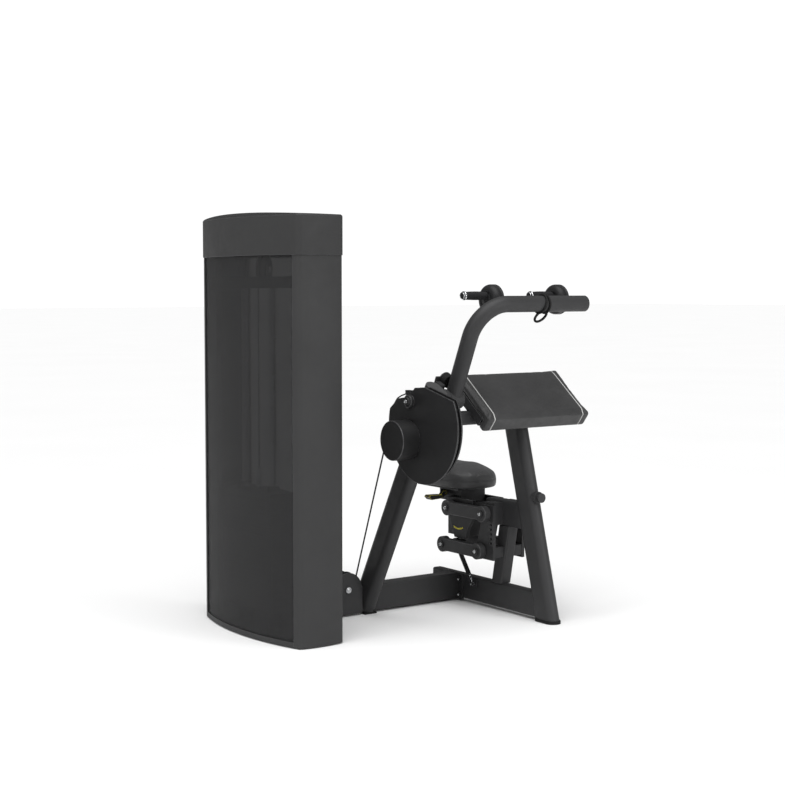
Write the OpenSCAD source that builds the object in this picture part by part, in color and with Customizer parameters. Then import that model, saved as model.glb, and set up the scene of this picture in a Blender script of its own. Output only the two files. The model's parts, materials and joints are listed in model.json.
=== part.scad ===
// Selectorised seated arm machine: a weight-stack tower, a floor frame with an inclined elbow pad,
// a swinging arm with two swivel handles on an eccentric cam, and a seat on a parallel linkage.
// Millimetres. +Z is up, +X runs from the tower to the seat, the user faces -Y.
// The origin is on the floor under the middle of the machine.

/* [Tower] */
// Overall height of the tower
tower_h = 1510; // [1400:10:1600]
// Length of the tower, across the machine
tower_l = 690; // [660:2:720]
// Bulge of each long side beyond a chord through the middle of its arc
side_bulge = 144; // [120:1:150]
// Radius of the long, gently curved sides
side_r = 1067; // [900:1:1400]
// Radius of the tower's upright corners
corner_r = 24; // [20:1:28]
// Height of the cap on top
cap_h = 152; // [120:1:160]
// How far the cap stands out over the columns
cap_lip = 3; // [2:1:8]
// Thickness of the covers
cover_t = 4; // [3:0.5:5]
// How far a side panel is set back from the columns
panel_gap = 5; // [3:0.5:6]
// Distance from the tower's middle to the joint between a column and a side panel
panel_half = 308; // [300:1:312]

/* [Weight stack] */
// Number of plates that rest below the selector pin
resting_n = 8; // [4:1:9]
// Number of plates that the selector pin lifts
lifted_n = 8; // [7:1:9]
// Pitch of the plates
plate_pitch = 25; // [24:0.5:27]
// Size of a plate across the tower
plate_w = 110; // [100:1:116]
// Size of a plate along the tower
plate_l = 340; // [300:1:360]
// Radius of a guide rod
rod_r = 12.5; // [10:0.5:14]
// Distance between the guide rods
rod_gap = 200; // [180:1:240]

/* [Floor frame] */
// Width of the base rail
rail_w = 60; // [50:1:70]
// Height of the base rail's top above the floor
rail_top = 110; // [100:1:120]
// Thickness of the slanted posts
post_t = 56; // [50:1:60]
// Depth of the slanted posts
post_d = 102; // [90:1:110]
// Lean of the post that carries the arm
arm_post_lean = 28.2; // [26:0.1:30]
// Lean of the post that carries the pad
pad_post_lean = 14.9; // [13:0.1:16]
// Wall of the steel tubes
wall = 3.5; // [2.5:0.5:5]

/* [Arm] */
// Distance from the pivot to the cross tube of the arm
arm_reach = 380; // [370:1:385]
// Lean of the arm from upright, at rest
arm_lean = 23.9; // [20:0.1:26]
// Outer radius of the arm tube
arm_r = 30; // [28:0.5:32]
// Radius of the arm's bend
arm_bend = 130; // [120:1:140]
// Radius of the cam's rim
cam_r = 206; // [195:1:210]
// Radius of the counterweight
weight_r = 72; // [60:1:75]
// Radius of a handle disc
disc_r = 57; // [50:1:60]
// Distance between the two handle discs
disc_gap = 318; // [300:1:320]

/* [Pad and seat] */
// Half the length of the elbow pad
pad_half = 251; // [220:1:255]
// Slope of the elbow pad
pad_slope = 38.3; // [35:0.1:40]
// Width of the elbow pad, measured down its slope
pad_depth = 256; // [240:1:265]
// Length of the seat's links between pivots
link_l = 215; // [200:1:225]
// Width of the seat
seat_w = 224; // [200:1:240]
// Length of the seat
seat_l = 370; // [340:1:380]

/* [Hidden] */
$fn = 96;

frame_shift = 31;
eps = 1;
big = 2000;

// Places along X
tower_x = -500;
pad_x = 400;
arm_post_x = -57;
arm_x = 70;
cable_x = -105;

// Tower outline: every arc keeps its centre when the outline grows or shrinks
tower_y = 100;
side_cx = side_r - side_bulge;
corner_cy = tower_l / 2 - corner_r - 6;
corner_cx = sqrt(pow(side_r - corner_r, 2) - pow(corner_cy, 2)) - side_cx;
end_gap = tower_l / 2 - corner_cy;
end_r = (pow(corner_cx, 2) + pow(end_gap, 2) - pow(corner_r, 2)) / (2 * (end_gap - corner_r));
end_cy = tower_l / 2 - end_r;
cap_z = tower_h - cap_h;
base_z = 20;

// Weight stack and its cable
stack_x = -545;
stack_y = 108;
buffer_top = 90;
resting_top = buffer_top + resting_n * plate_pitch;
stack_top = resting_top + lifted_n * plate_pitch;
head_h = 30;
stem_r = 12;
stem_bore = 4.6;
pin_z = resting_top + 12;
pin_r = 5;
pin_bore = 5.06;
bridge_z = 1245;
cable_r = 2.5;

// Pulleys: the radius is that of the cable's centre line
floor_pulley_r = 53;
lower_pulley_r = 42;
top_pulley_r = 51;
rim_h = 4;
pulley_w = 18;
axle_r = 6;
axle_bore = 6.06;
floor_pulley_x = cable_x - floor_pulley_r;
floor_pulley_z = 114;
rail_y = 148;

// Pivot and cam
pivot_y = -237;
pivot_z = 840;
cam_dy = -70;
cam_dz = -87;
cam_y = pivot_y + cam_dy;
cam_z = pivot_z + cam_dz;
rope_r = cam_r - 3;
cable_dy = rail_y - cam_y;
cable_dz = floor_pulley_z - cam_z;
cable_lean = acos(rope_r / norm([cable_dy, cable_dz])) + atan2(cable_dz, cable_dy);
// Where the straight run of the cable stops, just below its tangent point on the cam
run_gap = 28;
cheek_out = -120;
cheek_in = -96;
cheek_t = 6;
shaft_r = 15;
shaft_bore = 15.06;
hub_r = 36;
hub_half = 30;

// Lower run of the cable, from the tilted floor pulley into the tower
run_y = rail_y + floor_pulley_r * sin(cable_lean);
run_z = floor_pulley_z - floor_pulley_r * cos(cable_lean);
rise_y = run_y;
rise_x = stack_x + sqrt(pow(2 * top_pulley_r, 2) - pow(rise_y - stack_y, 2));
top_turn = atan2(rise_y - stack_y, rise_x - stack_x);
top_pulley_z = bridge_z + 68;
lower_pulley_x = rise_x + lower_pulley_r;
lower_pulley_z = run_z + lower_pulley_r;
fitting_top = 600;

// Frame
rail_bottom = 7;
rail_start = -98;
cross_w = 42;
cross_x = pad_x - cross_w / 2;
cross_z0 = 12;
cross_z1 = 108;
cross_far = 285;
flange_t = 6;
arm_post_foot_y = 166;
arm_post_len = 1001;
pad_post_foot_y = -398;
beam_y = -208;
beam_z = 765;
beam_s = 50;
seat_beam_z0 = 335;
seat_beam_z1 = 434;
seat_beam_start = -285;
seat_beam_end = -64;

// Pad: s runs up the slope from the front fold, d is the depth below the top face
pad_fold = [-351, 770];
pad_t = 66;
pad_face_t = 30;
board_t = 40;
function pad_at(s, d) = [pad_fold[0] + s * cos(pad_slope) + d * sin(pad_slope),
                         pad_fold[1] + s * sin(pad_slope) - d * cos(pad_slope)];

// Seat linkage
low_y = -99;
low_z = 235;
high_y = -127;
high_z = 383;
link_x = 290;
link_t = 28;
link_boss = 31;
link_neck = 24;
link_pin = 10;
link_bore = 10.06;
pan_z = 452;
pan_t = 8;
seat_y0 = -30;
seat_h = 96;
gas_x = 364;
gas_foot = [8, 84];
gas_top = [low_y + link_l, low_z];
gas_len = norm(gas_top - gas_foot);
gas_lean = atan2(gas_top[0] - gas_foot[0], gas_top[1] - gas_foot[1]);

// Handles
disc_t = 26;
// Depth of the dome on the grip's side of a disc
disc_dome = 18;
disc_y = -259;
disc_z = 1202;
disc_pin = 9;
grip_r = 15.5;
grip_l = 100;
grip_off = 15;
arm_end = 574;

// Odds and ends
slot_half = 36;
plate_t = 6;
plate_y0 = rail_y - rail_w / 2 - plate_t;
plate_y1 = rail_y + rail_w / 2 + plate_t;
plate_x0 = -470;
plate_in = -350;
plate_top = 168;
floor_bolt_z = 103;
upright_y = 312;
bridge_t = 12;
housing_r = 38;
stop_face = 56;
anchor_r = 4;
anchor = [14, 29];
weight_y = -225;
weight_z = 701;
ring_x = 379;
pad_post_len = 760;
seat_post_y = -121;
seat_post_lean = 11;
rib_t = 8;
peg_z = 462;
cap_dome = 12;
cap_edge = 5;
lever_x = 324;
lever_z = 437;
stop_x = 60;
stop_up = 54;
bolt_r = 6;
bolt_ys = [rail_y - 46, rail_y + 46];
bolt_zs = [26, 88];
gas_pin = 4;
lever_pin = 5;

// ---------- shared shapes ----------

// Everything below is laid out from the middle of the floor frame; the origin is the middle of the whole
module in_frame() {
    translate([0, frame_shift, 0]) children();
}

// Rectangle with round corners
module round_rect(w, h, r) {
    square([w - 2 * r, h], center = true);
    square([w, h - 2 * r], center = true);
    for (sx = [-1, 1], sy = [-1, 1])
        translate([sx * (w / 2 - r), sy * (h / 2 - r)]) circle(r);
}

// Rectangular tube section
module tube_section(w, h, r, t) {
    difference() {
        round_rect(w, h, r);
        round_rect(w - 2 * t, h - 2 * t, r - t);
    }
}

// Flat-sided oval, long along Y
module oval(w, l) {
    square([w, l - w], center = true);
    for (s = [-1, 1]) translate([0, s * (l - w) / 2]) circle(w / 2);
}

// Cylinder along X from x0 to x1 about the line through (y, z)
module bar_x(r, x0, x1, y, z) {
    translate([x0, y, z]) rotate([0, 90, 0]) cylinder(r = r, h = x1 - x0);
}

// Box between two corners
module box(a, b) {
    translate(a) cube(b - a);
}

// Outline in the YZ plane, extruded along X from x0
module side_plate(x0, t) {
    translate([x0, 0, 0]) rotate([90, 0, 90]) linear_extrude(t) children();
}

// Points along an arc about c, from angle a0 to a1 in n steps
function arc(c, r, a0, a1, n) =
    [for (i = [0 : n]) let (a = a0 + (a1 - a0) * i / n) c + r * [cos(a), sin(a)]];

function unit(v) = v / norm(v);

// Directions along a route, each halfway between its two neighbouring stretches
function ways(p) = let (n = len(p) - 1) [for (i = [0 : n])
    unit(unit(p[min(i + 1, n)] - p[min(i, n - 1)]) + unit(p[max(i, 1)] - p[max(i - 1, 0)]))];

// A side vector for each direction, carried along without twisting
function sides(w, u, i = 0) = i == len(w) ? [] :
    let (v = unit(u - (u * w[i]) * w[i])) concat([v], sides(w, v, i + 1));

// Closed tube of radius r with n sides along the route p
module tube_along(p, r, n = 10) {
    w = ways(p);
    u = sides(w, cross(w[0], [0.3, 0.5, 0.2]));
    last = (len(p) - 1) * n;
    polyhedron([for (i = [0 : len(p) - 1], k = [0 : n - 1])
                   p[i] + r * (cos(k * 360 / n) * u[i] + sin(k * 360 / n) * cross(w[i], u[i]))],
               concat([[for (k = [0 : n - 1]) k]],
                      [for (i = [0 : len(p) - 2], k = [0 : n - 1])
                          [i * n + k, i * n + n + k, i * n + n + (k + 1) % n, i * n + (k + 1) % n]],
                      [[for (k = [n - 1 : -1 : 0]) last + k]]));
}

// Corners of a route that wraps a wheel of radius r, from angle a0 to a1, in the plane of e1 and e2
function wrap(c, r, e1, e2, a0, a1, n) = let (h = (a1 - a0) / n / 2) [for (i = [0 : n - 1])
    let (a = a0 + (2 * i + 1) * h) c + r / cos(h) * (cos(a) * e1 + sin(a) * e2)];

// Tower outline, grown by g: long side arcs, corner arcs and short end arcs, all tangent
module tower_outline(g = 0) {
    side_a = atan2(corner_cy, corner_cx + side_cx);
    end_a = atan2(corner_cy - end_cy, corner_cx);
    quarter = concat(arc([-side_cx, 0], side_r + g, 0, side_a, 12),
                     arc([corner_cx, corner_cy], corner_r + g, side_a, end_a, 12),
                     arc([0, end_cy], end_r + g, end_a, 90, 5));
    n = len(quarter) - 1;
    polygon(concat(quarter,
                   [for (i = [n : -1 : 0]) [-quarter[i][0], quarter[i][1]]],
                   [for (i = [0 : n]) [-quarter[i][0], -quarter[i][1]]],
                   [for (i = [n : -1 : 0]) [quarter[i][0], -quarter[i][1]]]));
}

// Solid tower slab, grown by g, from z0 to z1
module tower_slab(g, z0, z1) {
    translate([tower_x, tower_y, z0]) linear_extrude(z1 - z0) tower_outline(g);
}

// Wall of the tower between two grown outlines
module tower_wall(g0, g1, z0, z1) {
    difference() {
        tower_slab(g0, z0, z1);
        tower_slab(g1, z0 - eps, z1 + eps);
    }
}

// ---------- tower ----------

module tower_base() {
    color("#3a3c3f") in_frame() {
        tower_slab(-cover_t, 6, base_z);
        difference() {
            intersection() {
                tower_wall(0, -cover_t, 4, base_z + 2);
                box([tower_x - 200, tower_y - panel_half, 0], [tower_x + 200, tower_y + panel_half, 30]);
            }
            box([tower_x + 100, plate_y0 - 4, 0], [tower_x + 200, plate_y1 + 4, 30]);
        }
    }
}

// Column cover at one end: the curved wall and a return behind the side panels
module column(side) {
    color("#2f3134") in_frame() intersection() {
        union() {
            tower_wall(0, -cover_t, 4, cap_z);
            difference() {
                tower_wall(-cover_t, -cover_t - 12, base_z, cap_z);
                translate([tower_x, tower_y, 0])
                    box([-200, -panel_half - 3, -eps], [200, panel_half + 3, tower_h]);
                translate([tower_x, tower_y, 0]) for (s = [-1, 1])
                    box([-200, s > 0 ? panel_half + 6 : -big, -eps],
                        [200, s > 0 ? big : -panel_half - 6, tower_h]);
            }
        }
        box([tower_x - 200, side > 0 ? tower_y + panel_half : -big, 0],
            [tower_x + 200, side > 0 ? big : tower_y - panel_half, tower_h]);
    }
}

module front_column() {
    column(-1);
}

module rear_column() {
    column(1);
}

module outer_panel() {
    color("#26282b") in_frame() intersection() {
        tower_wall(-panel_gap, -panel_gap - cover_t, base_z + 2, cap_z);
        box([-big, tower_y - panel_half, 0], [tower_x, tower_y + panel_half, tower_h]);
    }
}

module inner_panel() {
    color("#26282b") in_frame() difference() {
        intersection() {
            tower_wall(-panel_gap, -panel_gap - cover_t, base_z + 2, cap_z);
            box([tower_x, tower_y - panel_half, 0], [big, tower_y + panel_half, tower_h]);
        }
        // Slot through which the selector pin is reached
        box([tower_x, stack_y - slot_half, buffer_top], [0, stack_y + slot_half, stack_top + 40]);
        // Way out for the base rail and its pulley
        box([tower_x, plate_y0 - 4, 0], [0, plate_y1 + 4, plate_top + 6]);
    }
}

module tower_cap() {
    dome_r = pow(tower_l / 2, 2) / (2 * cap_dome);
    color("#34363a") in_frame() difference() {
        intersection() {
            union() {
                tower_slab(cap_lip, cap_z, tower_h - cap_dome - cap_edge);
                tower_slab(cap_lip - 1.5, tower_h - cap_dome - cap_edge, tower_h - cap_dome - 2);
                tower_slab(cap_lip - cap_edge, tower_h - cap_dome - 2, tower_h);
            }
            translate([tower_x, tower_y, tower_h - dome_r]) sphere(dome_r, $fn = 360);
        }
        tower_slab(-cover_t, cap_z - eps, tower_h - 2 * cap_dome);
    }
}

// Two uprights inside the columns and the bridge that carries the top pulley
module tower_frame() {
    color("#2b2d30") in_frame() difference() {
        union() {
            for (s = [-1, 1]) translate([tower_x, tower_y + s * upright_y, base_z])
                linear_extrude(1340 - base_z) tube_section(80, 40, 6, wall);
            box([tower_x - 84, tower_y - upright_y + 20, bridge_z],
                [tower_x + 80, tower_y + upright_y - 20, bridge_z + bridge_t]);
            for (x = [-84, 75]) box([tower_x + x, tower_y - upright_y + 20, bridge_z + bridge_t],
                [tower_x + x + 5, tower_y + upright_y - 20, bridge_z + 40]);
            at_top_pulley() for (s = [-1, 1]) translate([0, s * 14.5, 0]) rotate([90, 0, 0])
                linear_extrude(5, center = true) {
                    circle(22);
                    translate([0, (bridge_z + bridge_t - top_pulley_z) / 2])
                        square([44, top_pulley_z - bridge_z - bridge_t], center = true);
                }
        }
        translate([stack_x, stack_y, bridge_z - eps]) cylinder(r = 12, h = bridge_t + 2 * eps);
        translate([rise_x, rise_y, bridge_z - eps]) cylinder(r = 12, h = bridge_t + 2 * eps);
        at_top_pulley() rotate([90, 0, 0]) cylinder(r = axle_r, h = 60, center = true);
    }
}

module at_top_pulley() {
    translate([(stack_x + rise_x) / 2, (stack_y + rise_y) / 2, top_pulley_z])
        rotate([0, 0, top_turn]) children();
}

module at_floor_pulley() {
    translate([floor_pulley_x, rail_y, floor_pulley_z]) rotate([cable_lean - 90, 0, 0]) children();
}

module at_lower_pulley() {
    translate([lower_pulley_x, run_y, lower_pulley_z]) rotate([90, 0, 0]) children();
}

module guide_rods() {
    color("#c8cbd0") in_frame() for (s = [-1, 1])
        translate([stack_x, stack_y + s * rod_gap / 2, base_z]) cylinder(r = rod_r, h = bridge_z - base_z);
}

module stack_bumpers() {
    color("#1c1c1c") in_frame() for (s = [-1, 1])
        translate([stack_x, stack_y + s * rod_gap / 2, base_z]) difference() {
            cylinder(r = 24, h = buffer_top - base_z);
            translate([0, 0, -eps]) cylinder(r = rod_r, h = buffer_top);
        }
}

// One weight plate with its raised pads, its rod holes and its pin hole
module weight_plate(z) {
    translate([stack_x, stack_y, z]) difference() {
        union() {
            translate([0, 0, (plate_pitch - 1) / 2]) cube([plate_w, plate_l, plate_pitch - 1], center = true);
            for (s = [-1, 1]) translate([0, s * rod_gap / 2, 0]) cylinder(r = 22, h = plate_pitch - 0.1);
        }
        for (s = [-1, 1]) translate([0, s * rod_gap / 2, -eps])
            cylinder(r = rod_r + 0.4, h = 2 * plate_pitch);
        translate([0, 0, -eps]) cylinder(r = stem_r + 1, h = 2 * plate_pitch);
        translate([0, 0, pin_z - resting_top]) rotate([0, 90, 0]) cylinder(r = pin_bore, h = plate_w);
    }
}

module resting_plates() {
    color("#4a4c50") in_frame() for (i = [0 : resting_n - 1]) weight_plate(buffer_top + i * plate_pitch);
}

module lifted_plates() {
    color("#4a4c50") in_frame() for (i = [0 : lifted_n - 1]) weight_plate(resting_top + i * plate_pitch);
}

module top_plate() {
    color("#3c3e42") in_frame() translate([stack_x, stack_y, stack_top]) difference() {
        union() {
            translate([0, 0, head_h / 2]) cube([plate_w, plate_l, head_h], center = true);
            for (s = [-1, 1]) translate([0, s * rod_gap / 2, 0]) cylinder(r = 21, h = head_h + 20);
        }
        for (s = [-1, 1]) translate([0, s * rod_gap / 2, -eps]) cylinder(r = rod_r + 0.06, h = head_h + 30);
        translate([0, 0, -eps]) cylinder(r = stem_r, h = head_h + 2 * eps);
    }
}

module selector_stem() {
    stem_z0 = buffer_top + 4;
    color("#b9bcc2") in_frame() translate([stack_x, stack_y, 0]) difference() {
        translate([0, 0, stem_z0]) cylinder(r = stem_r, h = fitting_top - stem_z0);
        translate([0, 0, pin_z + 10]) cylinder(r = stem_bore, h = fitting_top);
        for (i = [0 : resting_n + lifted_n - 1])
            translate([0, 0, buffer_top + i * plate_pitch + pin_z - resting_top])
                rotate([0, 90, 0]) cylinder(r = pin_bore, h = 4 * stem_r, center = true);
    }
}

module selector_pin() {
    color("#d8c13a") in_frame() {
        bar_x(pin_r, stack_x - 11.5, stack_x + plate_w / 2 + 8, stack_y, pin_z);
        bar_x(14, stack_x + plate_w / 2 + 8, stack_x + plate_w / 2 + 33, stack_y, pin_z);
    }
}

// ---------- pulleys and cable ----------

// Grooved wheel about Z; r is the radius of the cable's centre line
module pulley(r) {
    rotate_extrude()
        polygon([[axle_bore, -pulley_w / 2], [r + rim_h, -pulley_w / 2], [r + rim_h, -6], [r - 1, -4],
                 [r - 2.7, -2.7], [r - 2.7, 2.7], [r - 1, 4], [r + rim_h, 6], [r + rim_h, pulley_w / 2],
                 [axle_bore, pulley_w / 2]]);
}

module top_pulley() {
    color("#1f2022") in_frame() at_top_pulley() rotate([90, 0, 0]) pulley(top_pulley_r);
}

module lower_pulley() {
    color("#1f2022") in_frame() at_lower_pulley() pulley(lower_pulley_r);
}

module floor_pulley() {
    color("#1f2022") in_frame() at_floor_pulley() pulley(floor_pulley_r);
}

module pulley_axles() {
    color("#c8cbd0") in_frame() {
        at_top_pulley() rotate([90, 0, 0]) {
            cylinder(r = axle_r, h = 42, center = true);
            for (s = [-1, 1]) translate([0, 0, s * 19.5]) cylinder(r = 10, h = 5, center = true);
        }
        intersection() {
            at_floor_pulley() cylinder(r = axle_r, h = 100, center = true);
            box([-big, rail_y - rail_w / 2, 0], [big, rail_y + rail_w / 2, big]);
        }
        translate([lower_pulley_x, 0, lower_pulley_z]) rotate([-90, 0, 0])
            translate([0, 0, rail_y - rail_w / 2]) cylinder(r = axle_r, h = rail_w);
        // Bolt heads on the outside of the pulley plates
        for (p = [[floor_pulley_x, floor_bolt_z, plate_y0], [lower_pulley_x, lower_pulley_z, plate_y0]])
            translate([p[0], p[2], p[1]]) rotate([90, 0, 0]) cylinder(r = 11, h = 7);
    }
}

// Two side plates that hold the floor pulleys between the tower and the base rail
module pulley_plates() {
    color("#303235") in_frame() for (y = [plate_y0, rail_y + rail_w / 2]) translate([0, y + plate_t, 0])
        rotate([90, 0, 0]) linear_extrude(plate_t) {
            translate([plate_x0, base_z]) square([plate_in - plate_x0, rail_top - base_z]);
            translate([plate_in, rail_bottom]) square([rail_start + 4 - plate_in, rail_top - rail_bottom]);
            translate([floor_pulley_x, floor_bolt_z]) circle(plate_top - floor_bolt_z);
            translate([lower_pulley_x, lower_pulley_z]) circle(44);
        }
}

module drive_cable() {
    run_len = sqrt(pow(norm([cable_dy, cable_dz]), 2) - pow(rope_r, 2)) - run_gap;
    up = [0, -sin(cable_lean), cos(cable_lean)];
    top = [cos(top_turn), sin(top_turn), 0];
    floor_at = [floor_pulley_x, rail_y, floor_pulley_z];
    color("#141414") in_frame() tube_along(concat(
        [[stack_x, stack_y, fitting_top]],
        wrap([(stack_x + rise_x) / 2, (stack_y + rise_y) / 2, top_pulley_z],
             top_pulley_r, top, [0, 0, 1], 180, 0, 12),
        wrap([lower_pulley_x, run_y, lower_pulley_z], lower_pulley_r, [1, 0, 0], [0, 0, 1], 180, 270, 6),
        wrap(floor_at, floor_pulley_r, [1, 0, 0], up, -90, 0, 6),
        [floor_at + [floor_pulley_r, 0, 0] + run_len * up]), cable_r);
}

// ---------- floor frame ----------

module base_rail() {
    color("#303235") in_frame()
        translate([rail_start, rail_y, (rail_top + rail_bottom) / 2]) rotate([90, 0, 90])
            linear_extrude(cross_x - flange_t - rail_start)
                tube_section(rail_w, rail_top - rail_bottom, 8, wall);
}

module cross_rail() {
    color("#303235") in_frame() difference() {
        union() {
            translate([pad_x, -350, (cross_z0 + cross_z1) / 2]) rotate([-90, 0, 0])
                linear_extrude(cross_far + 350) tube_section(cross_w, cross_z1 - cross_z0, 8, wall);
            box([cross_x - 6, gas_foot[0] - 14, gas_foot[1] - 14],
                [cross_x, gas_foot[0] + 14, gas_foot[1] + 14]);
        }
        pad_post_solid();
        bar_x(gas_pin, cross_x - 10, cross_x + 2, gas_foot[0], gas_foot[1]);
    }
}

module joint_flange() {
    color("#303235") in_frame() difference() {
        box([cross_x - flange_t, rail_y - 63, rail_bottom], [cross_x, rail_y + 63, rail_top + 2]);
        for (y = bolt_ys, z = bolt_zs) bar_x(bolt_r, cross_x - 10, cross_x + 10, y, z);
    }
}

module frame_bolts() {
    color("#c8cbd0") in_frame() {
        for (y = bolt_ys, z = bolt_zs) {
            bar_x(bolt_r, cross_x - flange_t, cross_x, y, z);
            bar_x(10, cross_x - flange_t - 8, cross_x - flange_t, y, z);
        }
        for (p = [[high_y, high_z], [low_y, low_z]]) {
            bar_x(link_pin, link_x - 1, 2 * pad_x - link_x + 1, p[0], p[1]);
            for (x = [link_x - 5, 2 * pad_x - link_x + 1]) bar_x(14, x, x + 4, p[0], p[1]);
        }
        bar_x(gas_pin, gas_x - 6, cross_x, gas_foot[0], gas_foot[1]);
        bar_x(7, gas_x - 10, gas_x - 6, gas_foot[0], gas_foot[1]);
    }
}

module rubber_feet() {
    color("#141414") in_frame() {
        translate([pad_x, -395, 0]) linear_extrude(cross_z0) oval(62, 114);
        translate([pad_x, cross_far - 24, 0]) cylinder(r = 20, h = cross_z0);
        box([arm_post_x - post_t / 2, 104, 0], [arm_post_x + post_t / 2, rail_y + rail_w / 2, rail_bottom]);
        for (sx = [-1, 1], sy = [-1, 1])
            translate([tower_x + sx * 62, tower_y + sy * 270, 0]) cylinder(r = 25, h = 6);
    }
}

// Frame of the arm post: local Z runs up the post
module at_arm_post() {
    translate([arm_post_x, arm_post_foot_y, 0]) rotate([arm_post_lean, 0, 0]) children();
}

module arm_post_solid() {
    at_arm_post() translate([0, 0, -120]) linear_extrude(arm_post_len + 120) oval(post_t, post_d);
}

module arm_post() {
    color("#303235") in_frame() difference() {
        arm_post_solid();
        at_arm_post() translate([0, 0, -130]) linear_extrude(arm_post_len + 140)
            oval(post_t - 2 * wall, post_d - 2 * wall);
        box([-big, -big, -big], [big, big, rail_bottom]);
        box([-big, rail_y - rail_w / 2, -eps], [big, big, rail_top]);
        bar_x(housing_r, -big, big, pivot_y, pivot_z);
    }
}

// Frame of the pad post: local Z runs up the post
module at_pad_post() {
    translate([pad_x, pad_post_foot_y, 0]) rotate([-pad_post_lean, 0, 0]) children();
}

module pad_post_solid() {
    at_pad_post() translate([0, 0, -80]) linear_extrude(pad_post_len + 80) oval(post_t, post_d);
}

module pad_post() {
    color("#303235") in_frame() difference() {
        pad_post_solid();
        at_pad_post() translate([0, 0, -90]) linear_extrude(pad_post_len + 100)
            oval(post_t - 2 * wall, post_d - 2 * wall);
        box([-big, -big, -big], [big, big, cross_z0]);
    }
}

module end_caps() {
    color("#5a5c60") in_frame() {
        at_arm_post() translate([0, 0, arm_post_len]) linear_extrude(5) oval(post_t - 1, post_d - 1);
        at_pad_post() translate([0, 0, pad_post_len]) linear_extrude(4) oval(post_t - 1, post_d - 1);
        translate([pad_x, cross_far, (cross_z0 + cross_z1) / 2]) rotate([-90, 0, 0])
            linear_extrude(5) round_rect(cross_w - 1, cross_z1 - cross_z0 - 1, 8);
        translate([pad_x, seat_beam_end, (seat_beam_z0 + seat_beam_z1) / 2]) rotate([-90, 0, 0])
            linear_extrude(5) round_rect(49, seat_beam_z1 - seat_beam_z0 - 1, 8);
    }
}

module seat_post() {
    color("#303235") in_frame() difference() {
        translate([pad_x, seat_post_y, cross_z1]) rotate([seat_post_lean, 0, 0]) translate([0, 0, -30])
            linear_extrude(320) tube_section(50, 60, 8, wall);
        box([-big, -big, -big], [big, big, cross_z1]);
        box([-big, -big, seat_beam_z0], [big, big, big]);
    }
}

module seat_beam() {
    color("#303235") in_frame() difference() {
        translate([pad_x, seat_beam_start, (seat_beam_z0 + seat_beam_z1) / 2]) rotate([-90, 0, 0])
            linear_extrude(seat_beam_end - seat_beam_start)
                tube_section(50, seat_beam_z1 - seat_beam_z0, 8, wall);
        pad_post_solid();
        bar_x(link_pin, 0, big, high_y, high_z);
    }
}

// Tube between the two posts, with the ribs that carry the pad board
module cross_beam() {
    color("#303235") in_frame() {
        difference() {
            translate([arm_post_x + 16, beam_y, beam_z]) rotate([90, 0, 90])
                linear_extrude(pad_x - post_t / 2 - rib_t - arm_post_x - 16)
                    tube_section(beam_s, beam_s, 8, wall);
            arm_post_solid();
        }
        for (x = [pad_x - post_t / 2 - rib_t, pad_x + post_t / 2]) side_plate(x, rib_t)
            polygon([[beam_y - 45, beam_z - 25], [beam_y + 52, beam_z - 25],
                     pad_at(235, pad_face_t + board_t), pad_at(60, pad_face_t + board_t)]);
    }
}

module accessory_peg() {
    color("#303235") in_frame() difference() {
        translate([pad_x, -290, peg_z]) rotate([90, 0, 0]) {
            cylinder(r = 22, h = 50);
            cylinder(r = 13, h = 62);
            translate([0, 0, 60]) cylinder(r = 18, h = 8);
        }
        pad_post_solid();
    }
}

// ---------- pivot, cam and arm ----------

// Frame of the arm at rest: local Z runs out along the arm, local Y towards the user
module at_arm() {
    translate([0, pivot_y, pivot_z]) rotate([arm_lean, 0, 0]) children();
}

module bearing_housing() {
    color("#34363a") in_frame() difference() {
        union() {
            bar_x(housing_r, arm_post_x - post_t / 2 - 2, arm_x - hub_half - 3, pivot_y, pivot_z);
            at_arm() {
                box([16, 20, 20], [36, stop_face + 6, 48]);
                box([16, stop_face, 32], [stop_x, stop_face + 6, 64]);
                translate([stop_x, stop_face + 6, stop_up]) rotate([90, 0, 0]) cylinder(r = 26, h = 6);
            }
        }
        bar_x(shaft_bore, -big, big, pivot_y, pivot_z);
    }
}

module rest_stop() {
    color("#141414") in_frame() at_arm() translate([stop_x, stop_face, stop_up]) rotate([90, 0, 0])
        cylinder(r = 25, h = stop_face - arm_r - 0.4);
}

module pivot_shaft() {
    color("#c8cbd0") in_frame() {
        bar_x(shaft_r, cheek_out - 16, arm_x + hub_half, pivot_y, pivot_z);
        bar_x(8, cheek_out - 22, cheek_out - 16, pivot_y, pivot_z);
    }
}

// Side outline of the cam: a disc set off from the pivot, with its top cut away
module cam_outline(r) {
    translate([pivot_y, pivot_z]) {
        intersection() {
            translate([cam_dy, cam_dz]) circle(r, $fn = 180);
            polygon([[200, -400], [200, -110], [126, -30], [78, 6], [40, 12], [2, 26], [-24, 50],
                     [-86, 54], [-226, 20], [-330, -4], [-330, -400]]);
        }
        circle(24);
    }
}

module cam() {
    color("#1f2022") in_frame() difference() {
        union() {
            side_plate(cheek_in, cheek_t) cam_outline(cam_r - 10);
            bar_x(19, cheek_out + cheek_t, cheek_in, pivot_y, pivot_z);
            bar_x(34, cheek_out + cheek_t, cheek_in, pivot_y - 42, pivot_z - 52);
            bar_x(anchor_r, cheek_out + cheek_t, cheek_in, pivot_y + anchor[0], pivot_z + anchor[1]);
        }
        bar_x(shaft_r, -big, big, pivot_y, pivot_z);
    }
}

module cam_cover() {
    color("#1c1d1f") in_frame() difference() {
        union() {
            side_plate(cheek_out, cheek_t) cam_outline(cam_r);
            bar_x(22, cheek_out - 14, cheek_out, pivot_y, pivot_z);
        }
        bar_x(shaft_r, -big, big, pivot_y, pivot_z);
    }
}

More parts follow.
